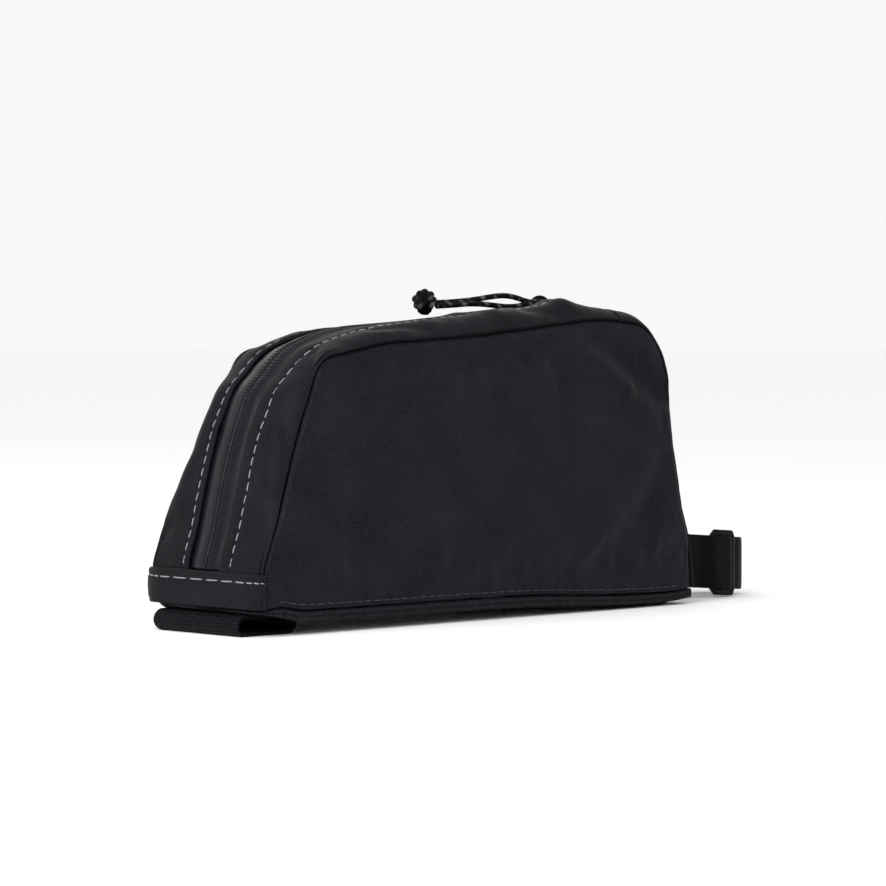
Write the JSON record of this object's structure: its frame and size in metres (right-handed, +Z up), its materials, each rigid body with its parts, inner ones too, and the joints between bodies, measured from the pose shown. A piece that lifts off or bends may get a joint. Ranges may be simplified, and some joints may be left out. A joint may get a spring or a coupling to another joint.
{
  "type": "top tube bag",
  "caption": "Small tapered top tube bag with a curved zipper over its low end and top, a knotted pull cord, a webbing sleeve under the low end and a strap loop at the tall end.",
  "frame": {"origin": "middle of the whole length and width, strap and sleeve included, on the plane the bag stands on", "axes": "+X along the bag from its low end to its tall end, +Y to the bag's left side seen from the low end looking at the tall end, +Z up"},
  "size_m": [0.2702, 0.0621, 0.1168],
  "materials": {
    "side_cloth": "matte",
    "gusset_cloth": "matte",
    "webbing": "matte",
    "zipper_tape": "satin",
    "zipper_coil": "satin",
    "slider_metal": "satin",
    "pull_cord": "matte",
    "slider_plastic": "satin"
  },
  "bodies": {
    "root": {"side_panel_left": "side_cloth", "side_panel_right": "side_cloth", "gusset_strip_left": "gusset_cloth", "gusset_strip_right": "gusset_cloth", "zipper_tape": "zipper_tape", "zipper_coil": "zipper_coil", "zipper_slider": "slider_metal", "pull_cord_upper": "pull_cord", "pull_cord_lower": "pull_cord", "pull_knot": "pull_cord", "end_band": "gusset_cloth", "tall_end_panel": "gusset_cloth", "bottom_panel": "gusset_cloth", "bottom_binding": "webbing", "strap_sleeve": "webbing", "stem_strap": "webbing", "strap_slider": "slider_plastic"}
  },
  "joints": []
}
